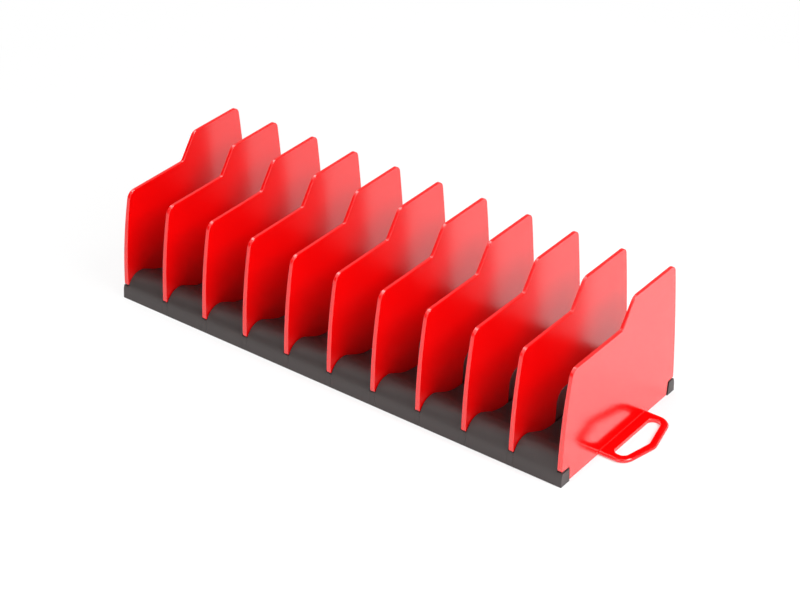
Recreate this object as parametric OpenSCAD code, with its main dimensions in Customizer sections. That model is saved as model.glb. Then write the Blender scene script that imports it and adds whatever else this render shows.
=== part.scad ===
// Pliers rack: upright plates in a row on a low base, with a pull loop at each end.
// X runs along the row, Y from the front to the rear, Z up from the table.
// Outlines are drawn with distances from the front of the base and heights above the table.

/* [Rack] */
// Distance from one plate to the next
pitch = 32; // [26:0.5:40]
// Depth of the base from front to rear
base_d = 114; // [106:0.5:130]

/* [Plates] */
// Thickness of a plate at the table
foot_t = 3.4; // [3:0.1:4.4]
// Thickness of a plate at its top edge
top_t = 2; // [1.6:0.1:2.8]
// Height of the low front part
front_h = 69.8; // [56:0.2:76]
// Height of the high rear part
rear_h = 85.4; // [80:0.2:110]
// Distance from the front to the foot of the step
step_y = 58.2; // [48:0.2:68]
// Depth that the slope of the step takes up
step_d = 11.9; // [6:0.1:16]
// Radius of the corner at the foot of the step
step_r = 2; // [1:0.5:5]
// Radius of the corner at the top of the step
crest_r = 5.5; // [2:0.5:9]
// Distance of the front edge's foot from the front
front_set = 1.45; // [1.2:0.05:2.5]
// How far the front edge leans back at its top
front_rake = 9.85; // [4:0.05:14]
// Radius of the bowed front edge
front_bow_r = 280; // [180:1:600]
// Radius of the front top corner
front_r = 6; // [2:0.5:9]
// Distance of the rear edge's foot from the rear
rear_set = 0.6; // [0.5:0.05:2]
// How far the rear edge leans in at its top
rear_rake = 2.9; // [1:0.05:8]
// Radius of the bowed rear edge
rear_bow_r = 856; // [400:1:1500]
// Radius of the rear top corner
rear_r = 4.5; // [2:0.5:9]

/* [Base] */
// Height of the lips that the plates stand on
lip_h = 8.4; // [7.4:0.1:10]
// Lean of the front face in degrees
front_tilt = 6; // [4:0.5:8]
// Lean of the rear face in degrees
rear_tilt = 1; // [0:0.5:3]
// Distance of the front roll's top from the front
front_roll_y = 11.5; // [10.5:0.1:13]
// Distance of the rear roll's top from the rear
rear_roll_y = 10.5; // [10:0.1:13]
// Height of both rolls
roll_h = 15.1; // [13.5:0.1:18]
// Height of the level floor between the rolls
floor_h = 6.5; // [6.1:0.1:7.6]
// Distance of the level floor from the front and from the rear
trough_y = 39.5; // [36:0.5:41]
// Steepness of the slope down to the floor, against a straight ramp
slope_gain = 1.65; // [1.5:0.05:1.8]
// Thickness of the base's walls
wall = 2.4; // [2:0.1:2.7]
// Depth of the grooves that the plates sit in
groove_d = 1.2; // [0.8:0.1:1.5]
// Length of the front lip that shows at an end plate
front_tab = 8; // [6:0.2:9]
// Length of the rear lip that shows at an end plate
rear_tab = 5.4; // [5:0.2:9]
// How far the lips stand out past the end plates
tab_proud = 0.4; // [0.2:0.1:1]
// Thickness of the ribs under the grooves
rib_t = 2.4; // [1.6:0.1:3]

/* [Keys] */
// Width of a key's tongue at the floor
key_w = 29.8; // [24:0.2:33]
// Height of a key's tongue above the table
key_top = 24.4; // [20:0.2:32]
// Thickness of a key's tongue
key_t = 3; // [2.4:0.1:3]
// Taper of each side of a tongue in degrees
key_taper = 6.8; // [2:0.2:9]
// Radius of a tongue's top corners
key_r = 8.4; // [4:0.2:10]
// Open slit beside a tongue where it comes through the floor
key_slit = 1; // [0.4:0.1:1.2]
// Ledge round a tongue, under the floor
key_ledge = 4; // [2.5:0.1:5]
// Height of the snap pips that hold a plate on its key
pip_z = 13; // [11:0.2:15]
// Diameter of the snap pips
pip_d = 1.4; // [1:0.1:1.8]
// How far a snap pip reaches into its tongue
pip_out = 0.45; // [0.3:0.05:0.7]

/* [Underside] */
// Thickness of the bottom plate and the flanges
pan_t = 2; // [1.8:0.1:2.3]
// Gap under the bottom plate
pan_lift = 0.4; // [0.2:0.1:0.6]
// Width of an end plate's flange under the base
flange_w = 16; // [14:0.5:22]

/* [Pull loops] */
// Width of a loop along the end plate
loop_w = 47.8; // [42:0.2:52]
// How far a loop reaches out from the end plate
loop_reach = 22.3; // [21.8:0.1:30]
// Width of a loop's arms
loop_bar = 3.6; // [3:0.1:5.4]
// Width of the bar along the end plate
loop_root = 6.1; // [4.4:0.1:6.6]
// Slant of the outer side in degrees, from each corner to the point
loop_slant = 13.6; // [8:0.2:15]
// Radius of a loop's outer corners
loop_r = 7; // [4:0.2:8]
// Radius of the corners of a loop's opening
loop_hole_r = 3.4; // [1.6:0.1:3.6]
// Distance of a loop's middle behind the middle of the base
loop_shift = 3.9; // [0:0.1:8]
// Gap under a loop
loop_lift = 0.1; // [0.05:0.05:0.4]

/* [Screws] */
// Core diameter of a bottom screw
screw_d = 2.5; // [2:0.1:3]
// Length of a bottom screw with its head
screw_l = 9; // [7:0.5:10]
// Diameter of a countersunk head
head_d = 5.2; // [4.4:0.1:5.6]
// Width across the flats of the hexagon socket
socket_w = 1.6; // [1.3:0.1:2]
// Depth of the hexagon socket
socket_d = 1; // [0.6:0.1:1.2]
// Diameter of the bosses that the screws bite in
boss_d = 7; // [6.4:0.1:8]
// Distance of the screws behind the top of each roll
screw_in = 2; // [1.5:0.1:3]

/* [Fits] */
// Gap on each side of a plate in its groove
groove_fit = 0.45; // [0.15:0.05:0.6]
// Gap round the ends of the lips at an end plate
tab_fit = 0.7; // [0.2:0.1:0.9]
// Gap between parts that only meet
fit = 0.15; // [0.1:0.05:0.25]
// Radial gap round a screw's core in its boss
bite_fit = 0.05; // [0.03:0.01:0.08]
// Radial gap round a screw in a plate that it holds
pass_fit = 0.3; // [0.2:0.05:0.4]

/* [Hidden] */
slots = 10;
red = [0.86, 0.06, 0.06];
charcoal = [0.16, 0.15, 0.15];
steel = [0.7, 0.71, 0.72];
arc_n = 10;
bow_n = 12;
past = 1;
hex_n = 6;
mid_screw_slots = 1.5;
$fn = 48;

mid_y = base_d / 2;
end_x = slots / 2 * pitch;
face_x = end_x + foot_t / 2;
bed_x = end_x - foot_t / 2 - fit;
pan_top = pan_lift + pan_t;
under_h = floor_h - wall;
lip_front = wall / cos(front_tilt) + pan_top * tan(front_tilt);
lip_rear = wall / cos(rear_tilt) + pan_top * tan(rear_tilt);
flange_in = bed_x - flange_w;
key_base_t = under_h - pan_top - fit;
key_base_d = 2 * (key_half(pan_top) + key_ledge);
key_base_w = key_t + 2 * key_slit + 2 * key_ledge;
rib_end = mid_y - key_base_d / 2 - 2 * fit;
screw_front = front_roll_y + screw_in;
screw_rear = base_d - rear_roll_y - screw_in;
mid_screw_x = mid_screw_slots * pitch;
end_screw_x = bed_x - flange_w / 2;
pilot_d = screw_d + 2 * bite_fit;
pass_d = screw_d + 2 * pass_fit;
head_h = (head_d - screw_d) / 2;

// Points and arcs

function turn(v, a) = [v.x * cos(a) - v.y * sin(a), v.x * sin(a) + v.y * cos(a)];
function unit(v) = v / norm(v);
function flip(path) = [for (i = [len(path) - 1 : -1 : 0]) path[i]];
function from_rear(path) = [for (p = flip(path)) [base_d - p.x, p.y]];
function left_angle(v) = (atan2(v.y, v.x) + 360) % 360;
function arc(c, r, a, b, n = arc_n) =
    [for (i = [0 : n]) c + turn([r, 0], a + (b - a) * i / n)];

// Centre of the arc from p to q that has its centre on the right hand
function bow_centre(p, q, r) =
    let (half = norm(q - p) / 2, side = unit([q.y - p.y, p.x - q.x]))
    (p + q) / 2 + side * sqrt(r * r - half * half);

// Arc of radius r that rounds the corner c between the points p and q
function fillet(p, c, q, r) =
    let (u = unit(p - c), w = unit(q - c), half = acos(u * w) / 2)
    let (centre = c + unit(u + w) * r / sin(half), start = c + u * r / tan(half) - centre)
    let (sweep = sign(cross(-u, w)) * (180 - 2 * half))
    [for (i = [0 : arc_n]) centre + turn(start, sweep * i / arc_n)];

// Rolled floor of the base, from a lip to the middle

function roll_r(y, tilt) = (y * cos(tilt) - roll_h * sin(tilt)) / (1 - sin(tilt));
function slope(y) = atan(slope_gain * (roll_h - floor_h) / (trough_y - y));
function trough_r(y, tilt) =
    let (a = slope(y))
    (slope_gain - 1) * (roll_h - floor_h) * cos(a) / (1 - cos(a)) - roll_r(y, tilt);

// Half of the floor at a depth under its surface, from the angle "from" on its roll
function half_floor(y, tilt, depth, from) =
    let (r = roll_r(y, tilt), a = slope(y), r2 = trough_r(y, tilt))
    concat(
        arc([y, roll_h - r], r - depth, from, 90 - a),
        arc([trough_y, floor_h + r2], r2 + depth, 270 - a, 270)
    );

// Angle on a roll, at a depth under its surface, where its height is that of the lip
function lip_angle(y, tilt, depth) =
    let (r = roll_r(y, tilt))
    180 - asin((lip_h - roll_h + r) / (r - depth));

// The whole floor from front to rear, from the straight faces of the lips
function floor_path(depth) = concat(
    half_floor(front_roll_y, front_tilt, depth, 180 - front_tilt),
    from_rear(half_floor(rear_roll_y, rear_tilt, depth, 180 - rear_tilt))
);

// The whole floor from front to rear, from the height of the lips
function seat_path(depth) = concat(
    half_floor(front_roll_y, front_tilt, depth, lip_angle(front_roll_y, front_tilt, depth)),
    from_rear(half_floor(rear_roll_y, rear_tilt, depth, lip_angle(rear_roll_y, rear_tilt, depth)))
);

// Half width of a key's tongue at a height
function key_half(z) = key_w / 2 + (floor_h - z) * tan(key_taper);

// Outline of a tongue from the height z0, grown by a gap
function tongue(z0, gap) =
    let (side = gap / cos(key_taper), top = key_top + gap)
    let (foot = key_half(z0) + side, head = key_half(top) + side)
    let (a = [mid_y - foot, z0], b = [mid_y - head, top])
    let (c = [mid_y + head, top], d = [mid_y + foot, z0])
    concat([a], fillet(a, b, c, key_r + gap), fillet(b, c, d, key_r + gap), [d]);

// Edge of a plate from its front foot, over the top, to its rear foot, with its feet at a height
function plate_edge(foot_z) =
    let (f0 = [front_set, foot_z], f1 = [front_set + front_rake, front_h])
    let (b0 = [base_d - rear_set - rear_rake, rear_h], b1 = [base_d - rear_set, foot_z])
    let (fc = bow_centre(f0, f1, front_bow_r), bc = bow_centre(b0, b1, rear_bow_r))
    let (fz = front_h - front_r, bz = rear_h - rear_r)
    let (fy = fc.x - sqrt(pow(front_bow_r - front_r, 2) - pow(fz - fc.y, 2)))
    let (by = bc.x + sqrt(pow(rear_bow_r - rear_r, 2) - pow(bz - bc.y, 2)))
    let (fa = left_angle([fy, fz] - fc), ba = atan2(bz - bc.y, by - bc.x))
    let (low = [step_y, front_h], high = [step_y + step_d, rear_h])
    concat(
        arc(fc, front_bow_r, left_angle(f0 - fc), fa, bow_n),
        arc([fy, fz], front_r, fa, 90),
        fillet([fy, front_h], low, high, step_r),
        fillet(low, high, b0, crest_r),
        arc([by, bz], rear_r, 90, ba),
        arc(bc, rear_bow_r, ba, atan2(b1.y - bc.y, b1.x - bc.x), bow_n)
    );

// Shared shapes

// A flat outline in depth and height, given a thickness along the row and centred at x
module across(x, t) {
    translate([x - t / 2, -mid_y, 0]) rotate([90, 0, 90]) linear_extrude(t) children();
}

// Wedge that gives a plate its draft, thick at the table and thin at its top
module draft(x) {
    translate([x, base_d, 0]) rotate([90, 0, 0]) linear_extrude(2 * base_d)
        polygon([[-foot_t / 2, 0], [-top_t / 2, rear_h], [top_t / 2, rear_h], [foot_t / 2, 0]]);
}

// A short round bar along the depth, from y0 to y1
module pin_y(x, y0, y1, z, d) {
    translate([x, y1 - mid_y, z]) rotate([90, 0, 0]) cylinder(d = d, h = y1 - y0);
}

// Puts a copy at each bottom screw that lies at a distance from the middle
module at_screws(xs) {
    for (x = xs) {
        for (y = [screw_front, screw_rear]) translate([x, y - mid_y, 0]) children();
    }
}

// Countersunk hole from below
module countersink() {
    translate([0, 0, pan_lift - past]) cylinder(d = pass_d, h = pan_t + 2 * past);
    translate([0, 0, pan_lift]) cylinder(d1 = head_d + 2 * fit, d2 = pass_d, h = head_h);
}

// Outline of a pull loop on the end plate at x = face_x
module loop_outline() {
    half = loop_w / 2;
    point = [loop_reach, 0];
    corner = [loop_reach - half * tan(loop_slant), half];
    other = [corner.x, -half];
    hole_half = half - loop_bar;
    hole_point = [loop_reach - loop_bar / cos(loop_slant), 0];
    hole_corner = [hole_point.x - hole_half * tan(loop_slant), hole_half];
    hole_other = [hole_corner.x, -hole_half];
    hole_a = [loop_root, -hole_half];
    hole_b = [loop_root, hole_half];
    difference() {
        polygon(concat(
            [[-foot_t / 2, -half]],
            fillet([0, -half], other, point, loop_r),
            fillet(other, point, corner, loop_r),
            fillet(point, corner, [0, half], loop_r),
            [[-foot_t / 2, half]]
        ));
        polygon(concat(
            fillet(hole_b, hole_a, hole_other, loop_hole_r),
            fillet(hole_a, hole_other, hole_point, loop_hole_r),
            fillet(hole_other, hole_point, hole_corner, loop_hole_r),
            fillet(hole_point, hole_corner, hole_b, loop_hole_r),
            fillet(hole_corner, hole_b, hole_a, loop_hole_r)
        ));
    }
}

// Sub-parts

// Base: lips, rolls and floor in one shell, with a groove and a slot for each divider
module base_bed() {
    color(charcoal) difference() {
        union() {
            across(0, 2 * bed_x) polygon(concat(
                [[0, 0]], floor_path(0), [[base_d, 0]],
                [[base_d - wall / cos(rear_tilt), 0]], flip(floor_path(wall)),
                [[wall / cos(front_tilt), 0]]
            ));
            for (i = [1 : slots - 1]) bed_ribs((i - slots / 2) * pitch);
            at_screws([-end_screw_x, -mid_screw_x, mid_screw_x, end_screw_x])
                translate([0, 0, pan_top]) cylinder(d = boss_d, h = roll_h - wall - pan_top);
            for (side = [-1, 1]) bed_tabs(side);
        }
        for (i = [1 : slots - 1]) bed_slot((i - slots / 2) * pitch);
        at_screws([-end_screw_x, -mid_screw_x, mid_screw_x, end_screw_x])
            translate([0, 0, pan_top - past]) cylinder(d = pilot_d, h = screw_l - pan_t + 2 * past);
    }
}

// Ribs under a groove, from each lip to the ledge of the key
module bed_ribs(x) {
    across(x, rib_t) intersection() {
        polygon(concat([[wall / 2, 0]], floor_path(wall / 2), [[base_d - wall / 2, 0]]));
        union() {
            translate([0, pan_top + fit]) square([rib_end, roll_h]);
            translate([base_d - rib_end, pan_top + fit]) square([rib_end, roll_h]);
        }
    }
}

// Ends of both lips, which close the corners of an end plate
module bed_tabs(side) {
    reach = face_x + tab_proud - bed_x + wall;
    across(side * (bed_x - wall + reach / 2), reach) {
        polygon([[0, 0], [lip_h * tan(front_tilt), lip_h], [front_tab, lip_h], [front_tab, 0]]);
        polygon([
            [base_d, 0], [base_d - rear_tab, 0],
            [base_d - rear_tab, lip_h], [base_d - lip_h * tan(rear_tilt), lip_h]
        ]);
    }
}

// Groove for a divider, and the slot in it that its key comes up through
module bed_slot(x) {
    across(x, foot_t + 2 * groove_fit) polygon(concat(
        [[-past, lip_h]], seat_path(groove_d), [[base_d + past, lip_h]],
        [[base_d + past, roll_h + past], [-past, roll_h + past]]
    ));
    slot_half = key_half(under_h) + 2 * fit;
    slot_t = key_t + 2 * key_slit;
    translate([x - slot_t / 2, -slot_half, under_h - past])
        cube([slot_t, 2 * slot_half, wall + 2 * past]);
}

// Divider: a plate with a mouth that fits over its key
module divider(i) {
    x = (i - slots / 2) * pitch;
    edge = key_half(pip_z) + fit / cos(key_taper);
    color(red) {
        intersection() {
            across(x, 2 * foot_t) difference() {
                polygon(concat(plate_edge(lip_h), flip(seat_path(groove_d - fit))));
                polygon(tongue(0, fit));
            }
            draft(x);
        }
        pin_y(x, mid_y - edge - past, mid_y - edge + fit + pip_out, pip_z, pip_d);
        pin_y(x, mid_y + edge - fit - pip_out, mid_y + edge + past, pip_z, pip_d);
    }
}

// Key: a tongue that holds its divider upright, on a ledge caught under the floor
module divider_key(i) {
    x = (i - slots / 2) * pitch;
    edge = key_half(pip_z);
    dimple = pip_out + fit;
    color(charcoal) difference() {
        union() {
            across(x, key_t) polygon(tongue(pan_top, 0));
            translate([x - key_base_w / 2, -key_base_d / 2, pan_top])
                cube([key_base_w, key_base_d, key_base_t]);
        }
        pin_y(x, mid_y - edge - past, mid_y - edge + dimple, pip_z, pip_d + 2 * fit);
        pin_y(x, mid_y + edge - dimple, mid_y + edge + past, pip_z, pip_d + 2 * fit);
    }
}

// End plate: a plate down to the table, with a flange under the base and a pull loop
module end_plate(side) {
    front = front_tab + tab_fit;
    rear = base_d - rear_tab - tab_fit;
    foot = lip_h + tab_fit;
    color(red) difference() {
        union() {
            intersection() {
                across(side * end_x, 2 * foot_t) polygon(concat(
                    plate_edge(foot), [[rear, foot], [rear, pan_lift]], [[front, pan_lift], [front, foot]]
                ));
                draft(side * end_x);
            }
            translate([side * (flange_in + end_x) / 2, (front + rear) / 2 - mid_y, pan_lift + pan_t / 2])
                cube([end_x - flange_in, rear - front, pan_t], center = true);
            translate([0, loop_shift, loop_lift]) mirror([side < 0 ? 1 : 0, 0, 0])
                translate([face_x, 0, 0]) linear_extrude(pan_top - loop_lift) loop_outline();
        }
        at_screws([side * end_screw_x]) countersink();
    }
}

// Bottom plate: closes the underside between the lips and the flanges
module bottom_plate() {
    width = 2 * (flange_in - fit);
    depth = base_d - lip_front - lip_rear - 2 * fit;
    color(charcoal) difference() {
        translate([-width / 2, lip_front + fit - mid_y, pan_lift]) cube([width, depth, pan_t]);
        at_screws([-mid_screw_x, mid_screw_x]) countersink();
    }
}

// Countersunk screws that hold the flanges and the bottom plate to the base
module bottom_screws() {
    color(steel) at_screws([-end_screw_x, -mid_screw_x, mid_screw_x, end_screw_x])
        translate([0, 0, pan_lift]) difference() {
            union() {
                cylinder(d = screw_d, h = screw_l);
                cylinder(d1 = head_d, d2 = screw_d, h = head_h);
            }
            translate([0, 0, -past])
                cylinder(d = socket_w / cos(180 / hex_n), h = socket_d + past, $fn = hex_n);
        }
}

base_bed();
bottom_plate();
end_plate(-1);  // left_end_plate
end_plate(1);  // right_end_plate
bottom_screws();
for (i = [1 : slots - 1]) {
    divider(i);
    divider_key(i);
}
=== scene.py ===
"""Looks of a pliers rack: red plates in a row on a charcoal base, with a pull loop at each end.

Sizes are in millimetres, apart from the studio's, which are in metres. An outline is a list of points
(depth, height), with the depth measured from the front of the base and the height from the table.
"""

import logging
import math
from collections.abc import Callable, Iterable, Sequence
from dataclasses import dataclass, field, replace
from enum import Enum

import bmesh
import bpy
from mathutils import Matrix, Vector
from mathutils.geometry import tessellate_polygon


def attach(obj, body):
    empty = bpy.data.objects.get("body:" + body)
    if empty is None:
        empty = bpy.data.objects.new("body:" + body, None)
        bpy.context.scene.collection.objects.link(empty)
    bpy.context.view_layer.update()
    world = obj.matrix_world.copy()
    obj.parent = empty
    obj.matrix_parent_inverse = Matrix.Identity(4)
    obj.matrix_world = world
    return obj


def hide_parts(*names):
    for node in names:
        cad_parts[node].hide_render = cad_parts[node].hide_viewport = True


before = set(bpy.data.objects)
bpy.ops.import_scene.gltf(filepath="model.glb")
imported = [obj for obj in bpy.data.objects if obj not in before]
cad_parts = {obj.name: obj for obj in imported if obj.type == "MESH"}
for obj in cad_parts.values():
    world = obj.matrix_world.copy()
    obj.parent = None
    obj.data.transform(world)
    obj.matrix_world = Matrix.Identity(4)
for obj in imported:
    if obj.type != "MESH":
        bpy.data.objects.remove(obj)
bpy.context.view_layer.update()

Point = tuple[float, float]
Outline = list[Point]

MM = 0.001
BODY = "root"
ARC_STEPS = 12
BOW_STEPS = 28
EDGE_STEPS = 4
HOLE_STEPS = 40
SHARP_ANGLE = 50.0
FLAT_WEIGHT = 100
SOFTEN_ANGLE = 35.0
SOFTEN_SHARE = 0.45
GRAIN_LAYERS = 3.0
FLOW_LAYERS = 4.0
NOISE_MIDDLE = 0.5
MIX_INPUTS = (0, 6, 7)
MIX_RESULT = 2

log = logging.getLogger("pliers_rack")


class Side(Enum):
    """An end of the rack, with its sign along the row."""

    LEFT = -1
    RIGHT = 1


class Slot(Enum):
    """A material slot of the record."""

    RED = "red_plastic"
    CHARCOAL = "charcoal_plastic"


class Section(Enum):
    """A kind of cross-section along the base."""

    STRIP = "strip between two grooves"
    GROOVE = "groove under a divider"
    TAB = "end of the lips beside an end plate"


# Outlines


def arc(centre: Point, radius: float, start: float, end: float, steps: int = ARC_STEPS) -> Outline:
    """Lays points along a circle.

    Args:
        centre: Middle of the circle.
        radius: Radius of the circle.
        start: Angle of the first point in degrees.
        end: Angle of the last point in degrees.
        steps: Number of equal steps between the two.

    Returns:
        The points, both ends included.
    """
    angles = [math.radians(start + (end - start) * i / steps) for i in range(steps + 1)]
    return [(centre[0] + radius * math.cos(a), centre[1] + radius * math.sin(a)) for a in angles]


def fillet(before: Point, corner: Point, after: Point, radius: float, steps: int = ARC_STEPS) -> Outline:
    """Rounds the corner of an outline.

    Args:
        before: A point on the line that leads to the corner.
        corner: The sharp corner.
        after: A point on the line that leaves the corner.
        radius: Radius of the rounding.
        steps: Number of steps along it.

    Returns:
        The points of the rounding, from one line to the other.
    """
    tip = Vector(corner)
    back = (Vector(before) - tip).normalized()
    ahead = (Vector(after) - tip).normalized()
    half = back.angle(ahead) / 2
    centre = tip + (back + ahead).normalized() * radius / math.sin(half)
    spoke = tip + back * radius / math.tan(half) - centre
    sweep = math.copysign(math.pi - 2 * half, -back.cross(ahead))
    return [tuple(centre + Matrix.Rotation(sweep * i / steps, 2) @ spoke) for i in range(steps + 1)]


def rounded(corners: Sequence[tuple[Point, float]], steps: int = ARC_STEPS) -> Outline:
    """Makes a closed outline from corners that have a radius each.

    Args:
        corners: The sharp corners in order, each with the radius of its rounding.
        steps: Number of steps along each rounding.

    Returns:
        The outline.
    """
    points = [corner for corner, _ in corners]
    outline: Outline = []
    for i, (corner, radius) in enumerate(corners):
        outline += fillet(points[i - 1], corner, points[(i + 1) % len(points)], radius, steps)
    return outline


def bow_centre(start: Point, end: Point, radius: float) -> Vector:
    """Finds the middle of a bowed edge.

    Args:
        start: First end of the edge.
        end: Second end of the edge.
        radius: Radius of the bow.

    Returns:
        The middle of the circle, on the right hand of someone who walks along the edge.
    """
    first, last = Vector(start), Vector(end)
    along = last - first
    right = Vector((along.y, -along.x)).normalized()
    return (first + last) / 2 + right * math.sqrt(radius**2 - along.length_squared / 4)


def inset(outline: Outline, distance: float) -> Outline:
    """Moves a closed outline to the left of its own direction.

    Args:
        outline: The outline, which runs so that the material is on its left.
        distance: How far each of its sides moves.

    Returns:
        The moved outline, with as many points.
    """
    moved: Outline = []
    for i, point in enumerate(outline):
        here = Vector(point)
        back = (here - Vector(outline[i - 1])).normalized()
        ahead = (Vector(outline[(i + 1) % len(outline)]) - here).normalized()
        left = Vector((-back.y - ahead.y, back.x + ahead.x))
        moved.append(tuple(here + left * (2 * distance / left.length_squared)))
    return moved


# Meshes


@dataclass
class Shell:
    """A closed mesh in the making, in metres, with a mark on its rounded edges.

    Attributes:
        points: Places of the vertices.
        rims: How far each vertex belongs to a rounded edge, from 0 to 1.
        faces: Indices of the vertices of each face.
    """

    points: list[Vector] = field(default_factory=list)
    rims: list[float] = field(default_factory=list)
    faces: list[tuple[int, ...]] = field(default_factory=list)

    def ring(self, points: Iterable[Vector], rim: float = 0.0) -> list[int]:
        """Adds a row of vertices.

        Args:
            points: Their places in metres.
            rim: How far they belong to a rounded edge.

        Returns:
            Their indices.
        """
        first = len(self.points)
        self.points += points
        self.rims += [rim] * (len(self.points) - first)
        return list(range(first, len(self.points)))

    def bridge(self, upper: Sequence[int], lower: Sequence[int]) -> None:
        """Joins two closed rings of as many vertices with a band of quads."""
        self.faces += [(upper[i - 1], lower[i - 1], lower[i], upper[i]) for i in range(len(upper))]

    def slab(
        self,
        loops: Sequence[Outline],
        half: Callable[[Point], float],
        place: Callable[[Point, float], Vector],
        edge: float,
        taper: float = 0.0,
        hole_edge: float | None = None,
    ) -> None:
        """Adds a plate with rounded edges.

        Args:
            loops: The outline, with the plate on its left, and then the outlines of its holes, turned the
                other way.
            half: Half of the plate's thickness at a point.
            place: Where a point lies in metres, at a height over the middle of the plate's thickness.
            edge: Radius of the rounded edges.
            taper: How far the upper edge lies inside the outline, and the lower edge outside it.
            hole_edge: Radius of the holes' rounded edges, where it is another one.
        """
        turns = [math.pi / 2 * i / EDGE_STEPS for i in range(EDGE_STEPS + 1)]
        levels = [(turn, 1) for turn in turns] + [(turn, -1) for turn in reversed(turns)]
        caps: tuple[list[int], list[int]] = ([], [])
        for number, loop in enumerate(loops):
            radius = hole_edge if number and hole_edge else edge
            rings = []
            for turn, sign in levels:
                drop = radius * (1 - math.cos(turn))
                shrunk = inset(loop, radius * (1 - math.sin(turn)) + sign * taper)
                points = [place(p, sign * (half(p) - drop)) for p in shrunk]
                rings.append(self.ring(points, math.sin(2 * turn)))
            for upper, lower in zip(rings, rings[1:]):
                self.bridge(upper, lower)
            caps[0].extend(rings[0])
            caps[1].extend(rings[-1])
        flat = [[Vector((*p, 0)) for p in loop] for loop in loops]
        for cap in caps:
            if len(loops) == 1:
                self.faces.append(tuple(cap))
            else:
                self.faces += [tuple(cap[i] for i in triangle) for triangle in tessellate_polygon(flat)]

    def build(self, name: str, material: bpy.types.Material) -> bpy.types.Object:
        """Turns the shell into an object with smooth edges and flat faces.

        Args:
            name: Name of the object and of its mesh.
            material: Finish of the whole shell.

        Returns:
            The object, linked to the scene.
        """
        mesh = bpy.data.meshes.new(name)
        mesh.from_pydata(self.points, [], self.faces)
        shaped = bmesh.new()
        shaped.from_mesh(mesh)
        bmesh.ops.recalc_face_normals(shaped, faces=shaped.faces)
        for face in shaped.faces:
            face.smooth = True
        shaped.to_mesh(mesh)
        shaped.free()
        mesh.set_sharp_from_angle(angle=math.radians(SHARP_ANGLE))
        mesh.attributes.new("rim", "FLOAT", "POINT").data.foreach_set("value", self.rims)
        mesh.materials.append(material)
        piece = bpy.data.objects.new(name, mesh)
        bpy.context.scene.collection.objects.link(piece)
        flat = piece.modifiers.new("flat_faces", "WEIGHTED_NORMAL")
        flat.weight = FLAT_WEIGHT
        flat.keep_sharp = True
        return piece


def settle(piece: bpy.types.Object, slot: Slot, *nodes: str) -> None:
    """Lets a piece ride on the rack in the place of its solids, and reports it.

    Args:
        piece: The finished piece.
        slot: The record's slot that its finish belongs to. It is not used.
        nodes: Names of the solids that it stands for.
    """
    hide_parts(*nodes)
    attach(piece, BODY)
    log.info("%s: %d faces, in the place of %s", piece.name, len(piece.data.polygons), ", ".join(nodes))


# Finishes


def new_group(name: str, inputs: dict[str, float], outputs: Sequence[str]) -> bpy.types.NodeTree:
    """Starts a shader node group of plain values.

    Args:
        name: Name of the group.
        inputs: Names of its inputs with their usual values.
        outputs: Names of its outputs.

    Returns:
        The group, with an input and an output node.
    """
    group = bpy.data.node_groups.new(name, "ShaderNodeTree")
    for title, value in inputs.items():
        socket = group.interface.new_socket(title, in_out="INPUT", socket_type="NodeSocketFloat")
        socket.default_value = value
    for title in outputs:
        group.interface.new_socket(title, in_out="OUTPUT", socket_type="NodeSocketFloat")
    group.nodes.new("NodeGroupInput").name = "in"
    group.nodes.new("NodeGroupOutput").name = "out"
    return group


@dataclass
class Wiring:
    """Adds nodes to a tree and links them, so that a finish reads as a list of steps.

    Attributes:
        tree: The node tree of a material, a world or a group.
    """

    tree: bpy.types.NodeTree

    def node(self, kind: str, **settings: object) -> bpy.types.Node:
        """Adds a node.

        Args:
            kind: Type of the node.
            settings: Properties of the node and their values.

        Returns:
            The node.
        """
        made = self.tree.nodes.new(kind)
        for title, value in settings.items():
            setattr(made, title, value)
        return made

    def join(self, source: object, target: bpy.types.NodeSocket) -> None:
        """Links a socket, or sets a plain value, on an input."""
        if isinstance(source, bpy.types.NodeSocket):
            self.tree.links.new(source, target)
        else:
            target.default_value = source

    def math(self, operation: str, first: object, second: object) -> bpy.types.NodeSocket:
        """Works out a value.

        Args:
            operation: Name of the operation.
            first: First number or socket.
            second: Second number or socket.

        Returns:
            The socket of the result.
        """
        made = self.node("ShaderNodeMath", operation=operation)
        for source, target in zip((first, second), made.inputs):
            self.join(source, target)
        return made.outputs[0]

    def noise(self, vector: bpy.types.NodeSocket, scale: object, detail: float) -> bpy.types.NodeSocket:
        """Makes a noise from 0 to 1.

        Args:
            vector: Socket of the place.
            scale: Waves for each metre, as a number or a socket.
            detail: Number of finer layers.

        Returns:
            The socket of the noise.
        """
        made = self.node("ShaderNodeTexNoise")
        self.join(vector, made.inputs["Vector"])
        self.join(scale, made.inputs["Scale"])
        made.inputs["Detail"].default_value = detail
        return made.outputs[0]

    def fade(self, value: bpy.types.NodeSocket, span: Point, ends: Point) -> bpy.types.NodeSocket:
        """Turns a span of values into another, and holds its ends.

        Args:
            value: Socket of the value.
            span: First and last value of the span.
            ends: What those two turn into.

        Returns:
            The socket of the result.
        """
        made = self.node("ShaderNodeMapRange", interpolation_type="SMOOTHSTEP")
        for source, target in zip((value, *span, *ends), made.inputs):
            self.join(source, target)
        return made.outputs[0]

    def mix(self, share: object, first: object, second: object) -> bpy.types.NodeSocket:
        """Mixes two colours.

        Args:
            share: Share of the second colour, as a number or a socket.
            first: First colour or socket.
            second: Second colour or socket.

        Returns:
            The socket of the mixed colour.
        """
        made = self.node("ShaderNodeMix", data_type="RGBA")
        for source, number in zip((share, first, second), MIX_INPUTS):
            self.join(source, made.inputs[number])
        return made.outputs[MIX_RESULT]


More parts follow.
